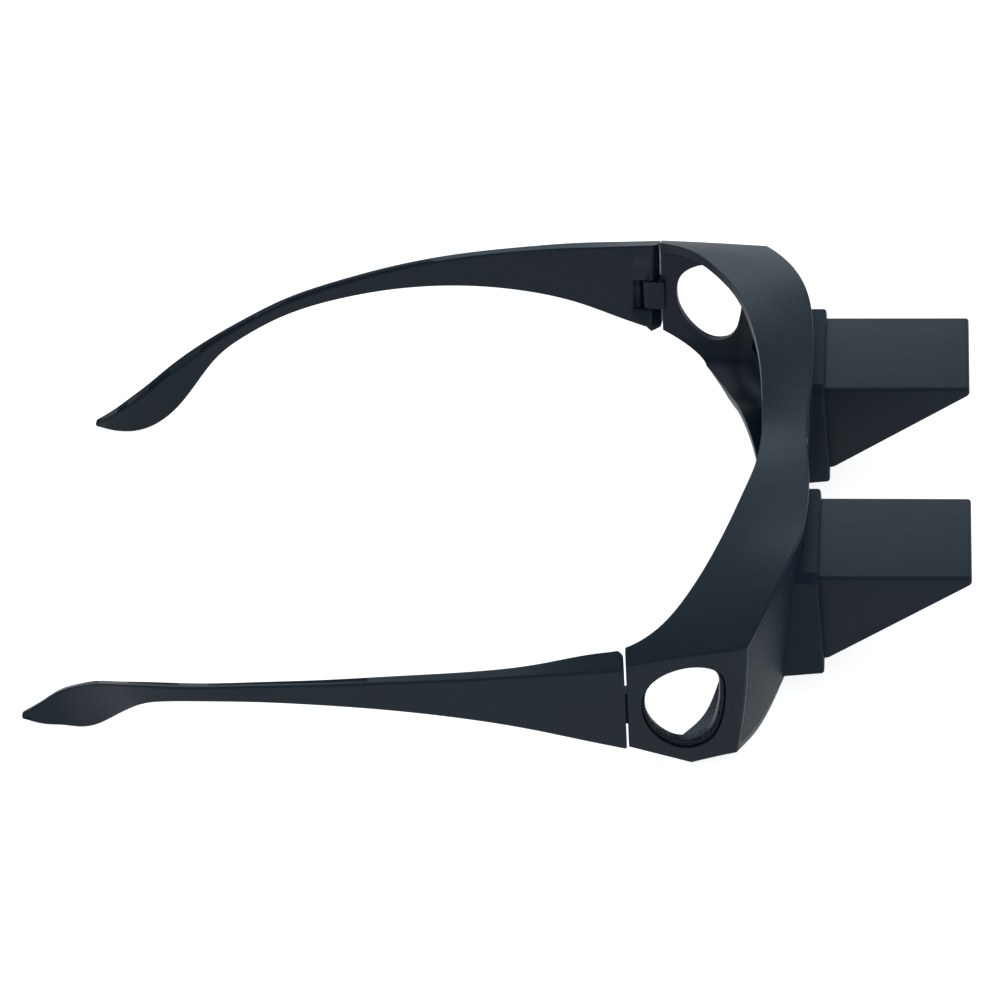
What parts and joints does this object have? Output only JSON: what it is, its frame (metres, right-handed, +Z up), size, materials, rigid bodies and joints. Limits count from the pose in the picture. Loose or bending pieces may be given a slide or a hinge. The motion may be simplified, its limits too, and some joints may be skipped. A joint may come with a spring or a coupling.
{
  "type": "prism bed glasses",
  "caption": "Fit-over reading glasses for lying down: a plastic wrap front with a downward-looking prism in a box before each eye, clear side windows and folding temples.",
  "frame": {"origin": "on the table below the middle of the glasses, halfway along their length and width", "axes": "+X to the wearer's left, +Y from the prisms to the temple tips, +Z up from the table that the open glasses rest on"},
  "size_m": [0.1562, 0.1907, 0.0361],
  "materials": {
    "frame_plastic": "satin",
    "cover_plastic": "satin",
    "prism_acrylic": "clear polished",
    "lens_acrylic": "clear polished",
    "screw_steel": "machined"
  },
  "bodies": {
    "front": {"front_frame": "frame_plastic", "prism_base_left": "frame_plastic", "prism_base_right": "frame_plastic", "prism_cover_left": "cover_plastic", "prism_cover_right": "cover_plastic", "prism_left": "prism_acrylic", "prism_right": "prism_acrylic", "side_lens_left": "lens_acrylic", "side_lens_right": "lens_acrylic"},
    "temple_left": {"temple_left": "frame_plastic", "hinge_screw_left": "screw_steel"},
    "temple_right": {"temple_right": "frame_plastic", "hinge_screw_right": "screw_steel"}
  },
  "joints": [
    {"name": "temple_left_fold", "type": "hinge", "parent": "front", "child": "temple_left", "pos_m": [0.0735, -0.02605, 0.01734], "axis": [0, -0.0391, 0.9992], "range_deg": [0, 90]},
    {"name": "temple_right_fold", "type": "hinge", "parent": "front", "child": "temple_right", "pos_m": [-0.0735, -0.02605, 0.01734], "axis": [0, 0.0391, -0.9992], "range_deg": [0, 84]}
  ]
}
